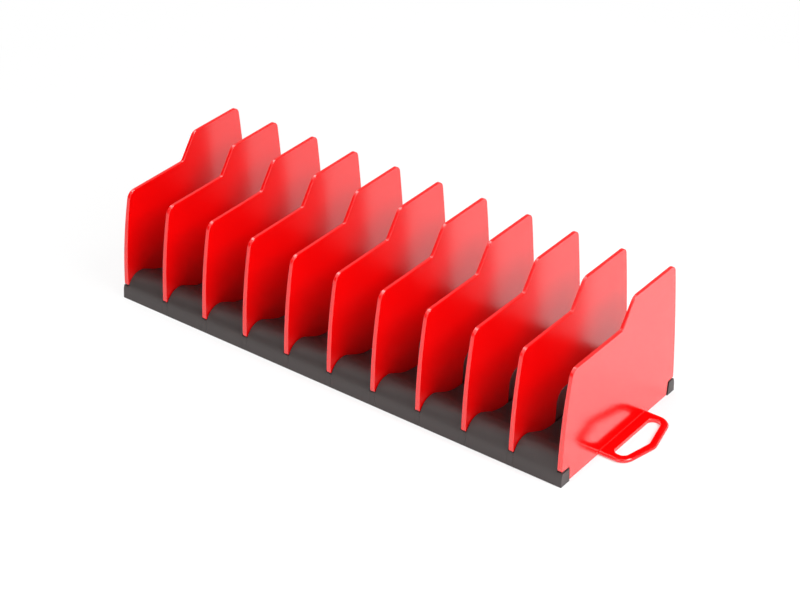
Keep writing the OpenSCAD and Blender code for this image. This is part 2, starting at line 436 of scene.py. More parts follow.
def new_material(name: str) -> tuple[bpy.types.Material, Wiring, bpy.types.Node]:
    """Starts a material.

    Args:
        name: Name of the material.

    Returns:
        The material, the wiring of its nodes and its shader.
    """
    made = bpy.data.materials.new(name)
    made.use_nodes = True
    return made, Wiring(made.node_tree), made.node_tree.nodes["Principled BSDF"]


def moulded_grain() -> bpy.types.NodeTree:
    """Makes the group for the skin of a moulded part.

    Returns:
        A group with the height of the fine grain, the roughness of the skin and the tone of its flow marks.
    """
    group = new_group(
        "moulded_grain",
        {"Grain per Metre": 2500.0, "Flow per Metre": 30.0, "Roughness": 0.3, "Roughness Spread": 0.05},
        ("Height", "Roughness", "Tone"),
    )
    wire = Wiring(group)
    given, out = group.nodes["in"].outputs, group.nodes["out"].inputs
    place = wire.node("ShaderNodeTexCoord").outputs["Object"]
    grain = wire.noise(place, given["Grain per Metre"], GRAIN_LAYERS)
    flow = wire.noise(place, given["Flow per Metre"], FLOW_LAYERS)
    swing, fleck = (
        wire.math("MULTIPLY", wire.math("SUBTRACT", noise, NOISE_MIDDLE), given["Roughness Spread"])
        for noise in (flow, grain)
    )
    wire.join(grain, out["Height"])
    wire.join(wire.math("ADD", given["Roughness"], wire.math("ADD", swing, fleck)), out["Roughness"])
    wire.join(flow, out["Tone"])
    return group


def rubbed_rim_and_highlight() -> bpy.types.NodeTree:
    """Makes the group for edges that handling has polished and lightened, partly wear and partly a painted
    highlight.

    Returns:
        A group with a mask that is high on the rounded edges, broken up by a noise.
    """
    group = new_group("rubbed_rim_and_highlight", {"Strength": 0.5, "Breaks per Metre": 160.0, "Least": 0.4}, ("Mask",))
    wire = Wiring(group)
    given, out = group.nodes["in"].outputs, group.nodes["out"].inputs
    rim = wire.node("ShaderNodeAttribute", attribute_name="rim").outputs["Fac"]
    place = wire.node("ShaderNodeTexCoord").outputs["Object"]
    breaks = wire.math("ADD", wire.noise(place, given["Breaks per Metre"], GRAIN_LAYERS), given["Least"])
    wire.join(wire.math("MULTIPLY", wire.math("MULTIPLY", rim, breaks), given["Strength"]), out["Mask"])
    return group


@dataclass(frozen=True)
class Plastic:
    """The finish of a moulded plastic.

    Attributes:
        name: Name of the material.
        colour: Colour of its flat faces.
        flow_colour: Colour that its slow flow marks tend to.
        rim_wear_and_highlight_colour: Colour that its rubbed edges tend to, as wear and as a painted
            highlight.
        roughness: Roughness of its skin.
        spread: How far the roughness swings.
        grain: Waves of its grain for each metre.
        grain_depth: Depth of the grain in metres.
        rub: How far its edges are rubbed and lightened, as wear and as a painted highlight.
        coat: Weight of the thin gloss over its skin.
        ior: Index of refraction.
    """

    name: str
    colour: tuple[float, float, float]
    flow_colour: tuple[float, float, float]
    rim_wear_and_highlight_colour: tuple[float, float, float]
    roughness: float
    spread: float
    grain: float
    grain_depth: float
    rub: float
    coat: float
    ior: float

    def material(self, grain: bpy.types.NodeTree, rim: bpy.types.NodeTree) -> bpy.types.Material:
        """Makes the material.

        Args:
            grain: The group for a moulded skin.
            rim: The group for rubbed edges, which also paints a highlight on them.

        Returns:
            The material.
        """
        made, wire, shader = new_material(self.name)
        skin = wire.node("ShaderNodeGroup", node_tree=grain)
        skin.inputs["Grain per Metre"].default_value = self.grain
        skin.inputs["Roughness"].default_value = self.roughness
        skin.inputs["Roughness Spread"].default_value = self.spread
        edges = wire.node("ShaderNodeGroup", node_tree=rim)
        edges.inputs["Strength"].default_value = self.rub
        body = wire.mix(skin.outputs["Tone"], (*self.colour, 1), (*self.flow_colour, 1))
        # The rims turn to the lighter rim colour: edge wear and a painted highlight on the rounded edges.
        wire.join(wire.mix(edges.outputs["Mask"], body, (*self.rim_wear_and_highlight_colour, 1)), shader.inputs["Base Color"])
        polish = wire.math("MULTIPLY", edges.outputs["Mask"], self.spread)
        wire.join(wire.math("SUBTRACT", skin.outputs["Roughness"], polish), shader.inputs["Roughness"])
        bump = wire.node("ShaderNodeBump")
        bump.inputs["Distance"].default_value = self.grain_depth
        wire.join(skin.outputs["Height"], bump.inputs["Height"])
        wire.join(bump.outputs["Normal"], shader.inputs["Normal"])
        shader.inputs["IOR"].default_value = self.ior
        shader.inputs["Coat Weight"].default_value = self.coat
        shader.inputs["Coat Roughness"].default_value = self.roughness
        return made


@dataclass(frozen=True)
class ZincSteel:
    """The finish of a zinc-plated screw.

    Attributes:
        name: Name of the material.
        colour: Colour of the bright metal.
        dull_colour: Colour of its dull spots.
        roughness: Roughness of the plating.
        spread: How far the roughness swings.
    """

    name: str = "zinc_plated_steel"
    colour: tuple[float, float, float] = (0.62, 0.63, 0.65)
    dull_colour: tuple[float, float, float] = (0.45, 0.46, 0.48)
    roughness: float = 0.32
    spread: float = 0.2

    def material(self, grain: bpy.types.NodeTree) -> bpy.types.Material:
        """Makes the material.

        Args:
            grain: The group for a fine skin.

        Returns:
            The material.
        """
        made, wire, shader = new_material(self.name)
        skin = wire.node("ShaderNodeGroup", node_tree=grain)
        skin.inputs["Roughness"].default_value = self.roughness
        skin.inputs["Roughness Spread"].default_value = self.spread
        dull = wire.mix(skin.outputs["Tone"], (*self.colour, 1), (*self.dull_colour, 1))
        wire.join(dull, shader.inputs["Base Color"])
        wire.join(skin.outputs["Roughness"], shader.inputs["Roughness"])
        shader.inputs["Metallic"].default_value = 1.0
        return made


RED_PLASTIC = Plastic(
    name="red_satin_plastic",
    colour=(0.835, 0.0005, 0.001),
    flow_colour=(0.795, 0.0005, 0.001),
    # Lighter rounded edges: wear and a painted highlight.
    rim_wear_and_highlight_colour=(0.88, 0.004, 0.004),
    roughness=0.23,
    spread=0.04,
    grain=1800.0,
    grain_depth=0.000004,
    rub=0.5,
    coat=0.45,
    ior=1.6,
)
GLOSS_PLASTIC = replace(
    RED_PLASTIC,
    name="red_gloss_plastic",
    roughness=0.15,
    spread=0.02,
    coat=0.6,
    ior=1.7,
)
CHARCOAL_PLASTIC = Plastic(
    name="charcoal_satin_plastic",
    colour=(0.0565, 0.046, 0.0445),
    flow_colour=(0.051, 0.041, 0.04),
    # Lighter rounded edges: wear and a painted highlight.
    rim_wear_and_highlight_colour=(0.095, 0.085, 0.082),
    roughness=0.35,
    spread=0.08,
    grain=2600.0,
    grain_depth=0.00002,
    rub=0.4,
    coat=0.0,
    ior=1.4,
)
# Tongues in shade between plates: lighter, redder charcoal as painted light and painted red bounce.
KEY_PAINTED_LIGHT_PLASTIC = replace(
    CHARCOAL_PLASTIC,
    name="charcoal_key_painted_light_plastic",
    colour=(0.145, 0.1, 0.102),
    flow_colour=(0.13, 0.092, 0.094),
    ior=1.55,
)
ZINC_STEEL = ZincSteel()


@dataclass
class Finishes:
    """The materials of the rack, which share two node groups.

    Attributes:
        red: Material of the dividers and the left end plate.
        gloss: Material of the right end plate and its loop.
        charcoal: Material of the base and of what is under its floor.
        key: Material of the keys' tongues, a lighter, redder charcoal: painted light and red bounce.
        steel: Material of the screws.
    """

    red: bpy.types.Material = field(init=False)
    gloss: bpy.types.Material = field(init=False)
    charcoal: bpy.types.Material = field(init=False)
    key: bpy.types.Material = field(init=False)
    steel: bpy.types.Material = field(init=False)

    def __post_init__(self) -> None:
        """Makes the two groups and the materials."""
        grain, rim = moulded_grain(), rubbed_rim_and_highlight()
        self.red = RED_PLASTIC.material(grain, rim)
        self.gloss = GLOSS_PLASTIC.material(grain, rim)
        self.charcoal = CHARCOAL_PLASTIC.material(grain, rim)
        self.key = KEY_PAINTED_LIGHT_PLASTIC.material(grain, rim)
        self.steel = ZINC_STEEL.material(grain)


# The rack


@dataclass(frozen=True)
class Layout:
    """Sizes that several sub-assemblies share.

    Attributes:
        slots: Number of slots in the row.
        pitch: Distance from one plate to the next.
        depth: Depth of the base.
        fit: Gap between parts that only meet.
        lip_h: Height of the lips that the plates stand on.
        floor_h: Height of the level floor.
        groove_d: Depth of the grooves that the plates sit in.
        groove_fit: Gap on each side of a plate in its groove.
        foot_t: Thickness of a plate at the table.
        top_t: Thickness of a plate at its top edge.
        front_tab: Length of the front lip that shows at an end plate, at its foot and at its top.
        rear_tab: Length of the rear lip that shows at an end plate, at its foot and at its top.
        tab_fit: Gap round the ends of the lips at an end plate.
        pan_lift: Gap under the bottom plate.
        pan_t: Thickness of the bottom plate and the flanges.
        flange_w: Width of an end plate's flange under the base.
        screw_in: Distance of the screws behind the top of each roll.
        mid_screw_slots: Distance of the inner screws from the middle, in slots.
        head_d: Diameter of a countersunk head.
        pass_d: Diameter of the holes that the screws pass through.
    """

    slots: int = 10
    pitch: float = 32.0
    depth: float = 114.0
    fit: float = 0.15
    lip_h: float = 8.4
    floor_h: float = 6.5
    groove_d: float = 1.2
    groove_fit: float = 0.45
    foot_t: float = 3.4
    top_t: float = 2.0
    front_tab: Point = (8.0, 8.0)
    rear_tab: Point = (7.0, 5.6)
    tab_fit: float = 0.7
    pan_lift: float = 0.4
    pan_t: float = 2.0
    flange_w: float = 16.0
    screw_in: float = 2.0
    mid_screw_slots: float = 1.5
    head_d: float = 5.5
    pass_d: float = 3.1

    @property
    def mid(self) -> float:
        """Depth of the middle of the base."""
        return self.depth / 2

    @property
    def end_x(self) -> float:
        """Distance of an end plate from the middle."""
        return self.slots / 2 * self.pitch

    @property
    def face_x(self) -> float:
        """Distance of an end plate's outer face from the middle."""
        return self.end_x + self.foot_t / 2

    @property
    def bed_x(self) -> float:
        """Distance of the base's ends from the middle."""
        return self.end_x - self.foot_t / 2 - self.fit

    @property
    def flange_in(self) -> float:
        """Distance of a flange's inner edge from the middle."""
        return self.bed_x - self.flange_w

    @property
    def pan_mid(self) -> float:
        """Height of the middle of the bottom plate."""
        return self.pan_lift + self.pan_t / 2

    def tab_at(self, tab: Point, height: float) -> float:
        """Length of a lip's end at a height over the table."""
        return tab[0] + (tab[1] - tab[0]) * height / self.lip_h

    def divider_x(self, number: int) -> float:
        """Place of a divider along the row, counted from 1 at the left."""
        return (number - self.slots / 2) * self.pitch

    def space(self, x: float, point: Point) -> Vector:
        """Place in metres of an outline's point at a place along the row."""
        return Vector((x, point[0] - self.mid, point[1])) * MM

    def upright(self, x: float) -> Callable[[Point, float], Vector]:
        """Gives the rule that places the points of an upright plate at a place along the row."""
        return lambda point, over: self.space(x + over, point)


@dataclass(frozen=True)
class HalfFloor:
    """One half of the base's rolled floor, from its lip to the level middle, measured from its own edge.

    Attributes:
        layout: Shared sizes.
        crest_y: Distance of the roll's top from the edge.
        tilt: Lean of the lip's face in degrees.
        roll_h: Height of the roll.
        trough_y: Distance of the level floor from the edge.
        slope_gain: Steepness of the slope, against a straight ramp.
        wall: Thickness of the base's wall.
    """

    layout: Layout
    crest_y: float
    tilt: float
    roll_h: float = 15.1
    trough_y: float = 39.5
    slope_gain: float = 1.65
    wall: float = 2.4

    @property
    def radius(self) -> float:
        """Radius of the roll."""
        lean = math.radians(self.tilt)
        return (self.crest_y * math.cos(lean) - self.roll_h * math.sin(lean)) / (1 - math.sin(lean))

    @property
    def fall(self) -> float:
        """Fall from the roll's top to the level floor."""
        return self.roll_h - self.layout.floor_h

    @property
    def slope(self) -> float:
        """Steepest angle of the slope in degrees."""
        return math.degrees(math.atan(self.slope_gain * self.fall / (self.trough_y - self.crest_y)))

    @property
    def trough_radius(self) -> float:
        """Radius of the hollow that leads to the level floor."""
        turn = math.cos(math.radians(self.slope))
        return (self.slope_gain - 1) * self.fall * turn / (1 - turn) - self.radius

    @property
    def centre(self) -> Point:
        """Middle of the roll."""
        return (self.crest_y, self.roll_h - self.radius)

    def angle_at(self, height: float, depth: float) -> float:
        """Finds a height on the front of the roll.

        Args:
            height: The height over the table.
            depth: Depth under the roll's surface.

        Returns:
            The angle in degrees.
        """
        return 180 - math.degrees(math.asin((height - self.centre[1]) / (self.radius - depth)))

    def roll_point(self, angle: float, depth: float) -> Point:
        """Place of an angle in degrees on the roll, at a depth under its surface."""
        return arc(self.centre, self.radius - depth, angle, angle, 1)[0]

    def rolled(self, depth: float, start: float) -> Outline:
        """Draws the roll and the hollow behind it.

        Args:
            depth: Depth under the surface.
            start: Angle in degrees at which the line starts on the roll.

        Returns:
            The points from the roll to the level floor.
        """
        middle = (self.trough_y, self.layout.floor_h + self.trough_radius)
        roll = arc(self.centre, self.radius - depth, start, 90 - self.slope, BOW_STEPS)
        return roll[:-1] + arc(middle, self.trough_radius + depth, 270 - self.slope, 270)

    def seat(self, depth: float, start_h: float) -> Outline:
        """Draws the line that a plate sits on.

        Args:
            depth: Depth under the surface.
            start_h: Height over the table at which the line starts on the roll.

        Returns:
            The points from the roll to the level floor.
        """
        return self.rolled(depth, self.angle_at(start_h, depth))

    def under_seat(self) -> Outline:
        """Draws the underside of the roll and of the hollow, point for point with the strip's surface."""
        return self.rolled(self.wall, self.angle_at(self.layout.lip_h, 0))


@dataclass(frozen=True)
class Bed:
    """The base: lips, rolls and floor in one shell, with a groove and a slot for each divider.

    Attributes:
        layout: Shared sizes.
        front: Front half of the floor.
        rear: Rear half of the floor.
        foot_r: Radius of the lips' lower edges.
        lip_edge: Bevel of the lips' upper edges in a groove.
        edge: Radius of the edges of the grooves and of the ends.
        groove_draft: Lean of a groove's wall over its depth.
        slot_half_x: Half of the slot's width along the row.
        slot_half_y: Half of the slot's length.
        tab_proud: How far the lips stand out past the end plates.
    """

    layout: Layout
    front: HalfFloor
    rear: HalfFloor
    foot_r: float = 0.15
    lip_edge: float = 0.3
    edge: float = 0.25
    groove_draft: float = 0.05
    slot_half_x: float = 2.75
    slot_half_y: float = 15.5
    tab_proud: float = 0.4

    def lip(self, half: HalfFloor, section: Section, depth: float) -> Outline:
        """Draws a lip from its foot to the height of the ledge.

        Args:
            half: The half of the floor that the lip belongs to.
            section: Kind of cross-section.
            depth: Depth under the surface.

        Returns:
            The points from the foot up.
        """
        lean = math.radians(half.tilt)
        foot = (depth * (1 / math.cos(lean) + math.tan(lean)), depth)
        up = (foot[0] + math.sin(lean), foot[1] + math.cos(lean))
        below = self.layout.lip_h - self.lip_edge
        face = fillet((foot[0] + 1, foot[1]), foot, up, self.foot_r, EDGE_STEPS)
        turn = (180 - half.tilt, half.angle_at(below, depth))
        face += arc(half.centre, half.radius - depth, *turn, EDGE_STEPS)
        if section is Section.STRIP:
            return face + [half.roll_point(half.angle_at(self.layout.lip_h, depth), depth)]
        return face + [(face[-1][0] + self.lip_edge, self.layout.lip_h)]

    def under_lip(self, half: HalfFloor, section: Section, face: Outline, tab: Point) -> Outline:
        """Draws the back of a lip, point for point with its face.

        Args:
            half: The half of the floor that the lip belongs to.
            section: Kind of cross-section.
            face: The lip's face, from its foot up.
            tab: Lengths of the lip's end beside an end plate.

        Returns:
            The points from the foot up.
        """
        if section is Section.TAB:
            return [(self.layout.tab_at(tab, height), height) for _, height in face]
        lean = math.radians(half.tilt)
        straight = EDGE_STEPS + 1
        foot = half.wall / math.cos(lean)
        back = [(foot + height * math.tan(lean), height) for _, height in face[:straight]]
        below = half.angle_at(self.layout.lip_h - self.lip_edge, 0)
        back += arc(half.centre, half.radius - half.wall, 180 - half.tilt, below, EDGE_STEPS)
        top = half.angle_at(self.layout.lip_h - self.lip_edge / 2, 0)
        return back + [half.roll_point(top, half.wall)]

    def half_rows(
        self, half: HalfFloor, section: Section, depth: float, tab: Point
    ) -> tuple[Outline, Outline]:
        """Draws one half of a cross-section.

        Args:
            half: The half of the floor.
            section: Kind of cross-section.
            depth: Depth under the strip's surface.
            tab: Lengths of the lip's end beside an end plate.

        Returns:
            The points of the surface and of the underside, from the lip's foot to the slot's end.
        """
        grooved = section is Section.GROOVE
        face = self.lip(half, section, 0 if grooved else depth)
        start_h = self.layout.lip_h + (0 if grooved else self.lip_edge)
        end, floor_h = self.layout.mid - self.slot_half_y, self.layout.floor_h
        over = face + half.seat(depth, start_h) + [(end, floor_h - depth)]
        under = self.under_lip(half, section, face, tab) + half.under_seat()
        return over, under + [(end, floor_h - half.wall)]

    def rows(self, section: Section, depth: float) -> tuple[Outline, Outline]:
        """Draws a whole cross-section.

        Args:
            section: Kind of cross-section.
            depth: Depth under the strip's surface.

        Returns:
            The points of the surface and of the underside, from the front to the rear.
        """
        front = self.half_rows(self.front, section, depth, self.layout.front_tab)
        rear = self.half_rows(self.rear, section, depth, self.layout.rear_tab)
        turned = [[(self.layout.depth - y, z) for y, z in reversed(side)] for side in rear]
        return front[0] + turned[0], front[1] + turned[1]

    def rounding(self, x: float, sign: int) -> list[tuple[float, Section, float]]:
        """Lists the cross-sections of a rounded edge that ends a strip.

        Args:
            x: Place of the edge along the row.
            sign: 1 where the strip ends towards the right, -1 where it ends towards the left.

        Returns:
            The place, the kind and the depth of each, in order from left to right.
        """
        turns = [math.pi / 2 * i / EDGE_STEPS for i in range(EDGE_STEPS + 1)]
        drops = [(1 - math.sin(turn), 1 - math.cos(turn)) for turn in turns]
        listed = [(x - sign * self.edge * back, Section.STRIP, self.edge * down) for back, down in drops]
        return listed[::sign]

    def stations(self) -> list[tuple[float, Section, float]]:
        """Lists every cross-section along the row.

        Returns:
            The place, the kind and the depth of each, in order from left to right.
        """
        lay = self.layout
        groove = lay.foot_t / 2 + lay.groove_fit
        listed: list[tuple[float, Section, float]] = []
        for number in range(1, lay.slots):
            x = lay.divider_x(number)
            listed.append((x - self.slot_half_x, Section.STRIP, 0))
            listed += self.rounding(x - groove, 1)
            listed.append((x - groove + self.groove_draft, Section.GROOVE, lay.groove_d))
            listed.append((x + groove - self.groove_draft, Section.GROOVE, lay.groove_d))
            listed += self.rounding(x + groove, -1)
            listed.append((x + self.slot_half_x, Section.STRIP, 0))
        ends = self.rounding(lay.face_x + self.tab_proud, 1)
        right = [(lay.bed_x, Section.STRIP, 0), (lay.bed_x + self.groove_draft, Section.TAB, 0)]
        right += [(x, Section.TAB, depth) for x, _, depth in ends]
        left = [(-x, section, depth) for x, section, depth in reversed(right)]
        return left + listed + right

    def kept(self, x: float, section: Section, row: int, rows: int) -> bool:
        """Tells whether a cell of the shell is solid.

        Args:
            x: Middle of the cell along the row.
            section: Kind of cross-section that it lies in.
            row: Number of the cell from the front.
            rows: Number of points in a cross-section.

        Returns:
            False over a key's slot, and past the base's ends except in the lips.
        """
        if section is Section.TAB:
            lip = 2 * EDGE_STEPS + 2
            return row < lip or row >= rows - 1 - lip
        nearest = round(x / self.layout.pitch) * self.layout.pitch
        return row != rows // 2 - 1 or abs(x - nearest) > self.slot_half_x

    def build(self, finish: bpy.types.Material) -> None:
        """Builds the base and puts it in the place of its solid.

        Args:
            finish: Material of the base.
        """
        shell = Shell()
        stations = self.stations()
        over: list[list[int]] = []
        under: list[list[int]] = []
        for x, section, depth in stations:
            # Rounded edges get the rim mark, which lightens them as wear and as a painted highlight.
            rim = 1.0 if 0 < depth < self.layout.groove_d else 0.0
            rows = self.rows(section, depth)
            over.append(shell.ring([self.layout.space(x, p) for p in rows[0]], rim))
            under.append(shell.ring([self.layout.space(x, p) for p in rows[1]]))
        count = len(over[0])
        columns = []
        for left, right in zip(stations, stations[1:]):
            past_end = Section.TAB in (left[1], right[1])
            section = Section.TAB if past_end else Section.STRIP
            middle = (left[0] + right[0]) / 2
            columns.append([self.kept(middle, section, row, count) for row in range(count - 1)])
        self.skin(shell, over, under, columns)
        settle(shell.build("base_shell", finish), Slot.CHARCOAL, "base_bed")

    def skin(
        self, shell: Shell, over: list[list[int]], under: list[list[int]], columns: list[list[bool]]
    ) -> None:
        """Covers every solid cell of the shell above and below, and closes its open sides.

        Args:
            shell: The mesh in the making.
            over: Vertices of the surface, by cross-section.
            under: Vertices of the underside, by cross-section.
            columns: Whether each cell is solid, by column.
        """

        def solid(i: int, j: int) -> bool:
            """Tells whether there is a solid cell at a column and a row."""
            return 0 <= i < len(columns) and 0 <= j < len(columns[0]) and columns[i][j]

        for i, column in enumerate(columns):
            for j in (j for j, full in enumerate(column) if full):
                corners = [(i, j), (i + 1, j), (i + 1, j + 1), (i, j + 1)]
                shell.faces.append(tuple(over[a][b] for a, b in corners))
                shell.faces.append(tuple(under[a][b] for a, b in reversed(corners)))
                beside = [(i, j - 1), (i + 1, j), (i, j + 1), (i - 1, j)]
                for n, neighbour in enumerate(beside):
                    if not solid(*neighbour):
                        (a, b), (c, d) = corners[n], corners[(n + 1) % 4]
                        shell.faces.append((over[c][d], over[a][b], under[a][b], under[c][d]))


@dataclass(frozen=True)
class PlateForm:
    """Outline of the upright plates, which the dividers and the end plates share.

    Attributes:
        layout: Shared sizes.
        front_h: Height of the low front part.
        rear_h: Height of the high rear part.
        step_y: Depth of the foot of the step.
        step_d: Depth that the slope of the step takes up.
        step_r: Radius of the corner at the foot of the step.
        crest_r: Radius of the corner at the top of the step.
        front_set: Depth of the front edge's foot.
        front_rake: How far the front edge leans back at its top.
        front_bow_r: Radius of the bowed front edge.
        front_r: Radius of the front top corner.
        rear_set: Distance of the rear edge's foot from the rear.
        rear_rake: How far the rear edge leans in at its top.
        rear_bow_r: Radius of the bowed rear edge.
        rear_r: Radius of the rear top corner.
        edge: Radius of the plates' rounded edges.
        corner_r: Radius of the small corners at the foot.
    """

    layout: Layout
    front_h: float = 69.8
    rear_h: float = 85.4
    step_y: float = 58.2
    step_d: float = 11.9
    step_r: float = 2.0
    crest_r: float = 5.5
    front_set: float = 1.45
    front_rake: float = 9.85
    front_bow_r: float = 280.0
    front_r: float = 6.0
    rear_set: float = 0.6
    rear_rake: float = 2.9
    rear_bow_r: float = 856.0
    rear_r: float = 4.5
    edge: float = 0.35
    corner_r: float = 0.8

    def half_t(self, point: Point) -> float:
        """Half of a plate's thickness at a point, which thins towards the top."""
        lay = self.layout
        return (lay.foot_t + (lay.top_t - lay.foot_t) * point[1] / self.rear_h) / 2

    def edge_line(self, foot_z: float) -> Outline:
        """Draws a plate's edge over its top.

        Args:
            foot_z: Height of the edge's two feet.

        Returns:
            The points from the rear foot, over the top, to the front foot.
        """
        f0, f1 = (self.front_set, foot_z), (self.front_set + self.front_rake, self.front_h)
        b0 = (self.layout.depth - self.rear_set - self.rear_rake, self.rear_h)
        b1 = (self.layout.depth - self.rear_set, foot_z)
        front = bow_centre(f0, f1, self.front_bow_r)
        rear = bow_centre(b0, b1, self.rear_bow_r)
        front_z, rear_z = self.front_h - self.front_r, self.rear_h - self.rear_r
        front_y = front.x - math.sqrt((self.front_bow_r - self.front_r) ** 2 - (front_z - front.y) ** 2)
        rear_y = rear.x + math.sqrt((self.rear_bow_r - self.rear_r) ** 2 - (rear_z - rear.y) ** 2)

        def bearing(centre: Vector, point: Point) -> float:
            """Angle in degrees of a point seen from a centre, from 0 to 360."""
            return math.degrees(math.atan2(point[1] - centre.y, point[0] - centre.x)) % 360

        front_a = bearing(front, (front_y, front_z))
        rear_a = (bearing(rear, (rear_y, rear_z)) + 180) % 360 - 180
        foot_a = (bearing(rear, b1) + 180) % 360 - 180
        low, high = (self.step_y, self.front_h), (self.step_y + self.step_d, self.rear_h)
        line = arc(front, self.front_bow_r, bearing(front, f0), front_a, BOW_STEPS)
        line += arc((front_y, front_z), self.front_r, front_a, 90)[1:]
        line += fillet((front_y, self.front_h), low, high, self.step_r)
        line += fillet(low, high, b0, self.crest_r)
        line += arc((rear_y, rear_z), self.rear_r, 90, rear_a)
        line += arc(rear, self.rear_bow_r, rear_a, foot_a, BOW_STEPS)[1:]
        return line[::-1]

    def soften(self, outline: Outline) -> Outline:
        """Rounds the small sharp corners of an outline.

        Args:
            outline: A closed outline.

        Returns:
            The outline, with every corner that turns more than SOFTEN_ANGLE rounded.
        """
        softened: Outline = []
        for i, point in enumerate(outline):
            before, after = outline[i - 1], outline[(i + 1) % len(outline)]
            back = Vector(point) - Vector(before)
            ahead = Vector(after) - Vector(point)
            if back.angle(ahead) < math.radians(SOFTEN_ANGLE):
                softened.append(point)
            else:
                reach = min(back.length, ahead.length) * SOFTEN_SHARE
                half = (math.pi - back.angle(ahead)) / 2
                radius = min(self.corner_r, reach * math.tan(half))
                softened += fillet(before, point, after, radius, EDGE_STEPS)
        return softened


@dataclass(frozen=True)
class KeyForm:
    """Outline of the keys' tongues, which the dividers' mouths share.

    Attributes:
        layout: Shared sizes.
        width: Width of a tongue at the floor.
        top: Height of a tongue over the table.
        thickness: Thickness of a tongue.
        taper: Taper of each side in degrees.
        corner_r: Radius of the top corners.
        ledge: Ledge round a tongue, under the floor.
        ledge_t: Thickness of the ledge.
        ledge_r: Radius of the ledge's corners.
        slit: Width of the ledge under the open slit beside a tongue.
        neck_t: Thickness of the neck between a tongue and its ledge.
        neck_in: How far the neck's ends stand back from the tongue's sides, and how far it stands in it.
        neck_r: Radius of the neck's corners.
        edge: Radius of the rounded edges.
    """

    layout: Layout
    width: float = 29.8
    top: float = 24.4
    thickness: float = 3.0
    taper: float = 6.8
    corner_r: float = 8.4
    ledge: float = 4.0
    ledge_t: float = 1.55
    ledge_r: float = 1.0
    slit: float = 1.0
    neck_t: float = 1.0
    neck_in: float = 1.0
    neck_r: float = 1 / 3
    edge: float = 0.25

    def half_width(self, height: float) -> float:
        """Half of a tongue's width at a height."""
        return self.width / 2 + (self.layout.floor_h - height) * math.tan(math.radians(self.taper))

    def tongue(self, foot_z: float, gap: float) -> Outline:
        """Draws a tongue.

        Args:
            foot_z: Height of its foot.
            gap: Distance that the outline is grown by.

        Returns:
            The points from the front foot, over the top, to the rear foot.
        """
        mid, top = self.layout.mid, self.top + gap
        side = gap / math.cos(math.radians(self.taper))
        foot, head = self.half_width(foot_z) + side, self.half_width(top) + side
        a, b = (mid - foot, foot_z), (mid - head, top)
        c, d = (mid + head, top), (mid + foot, foot_z)
        radius = self.corner_r + gap
        return [a] + fillet(a, b, c, radius) + fillet(b, c, d, radius) + [d]


@dataclass(frozen=True)
class Dividers:
    """The inner plates, each with a mouth at its foot that fits over a key.

    Attributes:
        form: Outline of the plates.
        key: Outline of the keys' tongues.
        front: Front half of the base's floor.
        rear: Rear half of the base's floor.
        seam: Gap that shows between its foot and the lip under it.
    """

    form: PlateForm
    key: KeyForm
    front: HalfFloor
    rear: HalfFloor
    seam: float = 0.4

    def outline(self) -> Outline:
        """Draws a divider, which sits in its groove and round its key.

        Returns:
            The closed outline, with the plate on its left.
        """
        lay = self.form.layout
        depth, foot_z = lay.groove_d - lay.fit, lay.lip_h + self.seam
        front = self.front.seat(depth, foot_z)
        rear = [(lay.depth - y, z) for y, z in reversed(self.rear.seat(depth, foot_z))]
        mouth = self.key.tongue(front[-1][1], lay.fit)
        return self.form.soften(front + mouth + rear + self.form.edge_line(foot_z))

    def build(self, finish: bpy.types.Material) -> None:
        """Builds every divider and puts it in the place of its solid.

        Args:
            finish: Material of the dividers.
        """
        lay, outline = self.form.layout, self.outline()
        for number in range(1, lay.slots):
            shell = Shell()
            place = lay.upright(lay.divider_x(number))
            shell.slab([outline], self.form.half_t, place, self.form.edge)
            settle(shell.build(f"divider_plate_{number}", finish), Slot.RED, f"divider_{number}")


@dataclass(frozen=True)
class Keys:
    """The tongues that hold the dividers upright, each on a ledge under the floor.

    Attributes:
        form: Outline of the tongues.
    """

    form: KeyForm

    def build(self, finish: bpy.types.Material, ledge_finish: bpy.types.Material) -> None:
        """Builds every key in two pieces and puts them in the place of its solid.

        Args:
            finish: Material of the tongues, a charcoal with painted light and a painted red bounce.
            ledge_finish: Material of the necks and the ledges.
        """
        lay, form = self.form.layout, self.form
        foot_z = lay.pan_lift + lay.pan_t
        tongue = form.tongue(lay.floor_h, 0)[::-1]
        reach, sunk = form.half_width(lay.floor_h) - form.neck_in, lay.floor_h + form.neck_in
        ends = ((-reach, foot_z), (reach, foot_z), (reach, sunk), (-reach, sunk))
        neck = rounded([((lay.mid + y, z), form.neck_r) for y, z in ends])
        half_y = form.half_width(foot_z) + form.ledge
        half_x = form.thickness / 2 + form.slit + form.ledge
        corners = ((-half_x, -half_y), (half_x, -half_y), (half_x, half_y), (-half_x, half_y))
        base = rounded([(corner, form.ledge_r) for corner in corners])
        for number in range(1, lay.slots):
            x = lay.divider_x(number)

            def level(point: Point, over: float, x: float = x) -> Vector:
                """Place of a point of this ledge in metres."""
                return Vector((x + point[0], point[1], foot_z + form.ledge_t / 2 + over)) * MM

            shell = Shell()
            shell.slab([tongue], lambda _: form.thickness / 2, lay.upright(x), form.edge)
            settle(shell.build(f"key_tongue_{number}", finish), Slot.CHARCOAL, f"divider_key_{number}")
            shell = Shell()
            shell.slab([neck], lambda _: form.neck_t / 2, lay.upright(x), form.edge)
            shell.slab([base], lambda _: form.ledge_t / 2, level, form.edge)
            settle(shell.build(f"key_ledge_{number}", ledge_finish), Slot.CHARCOAL, f"divider_key_{number}")


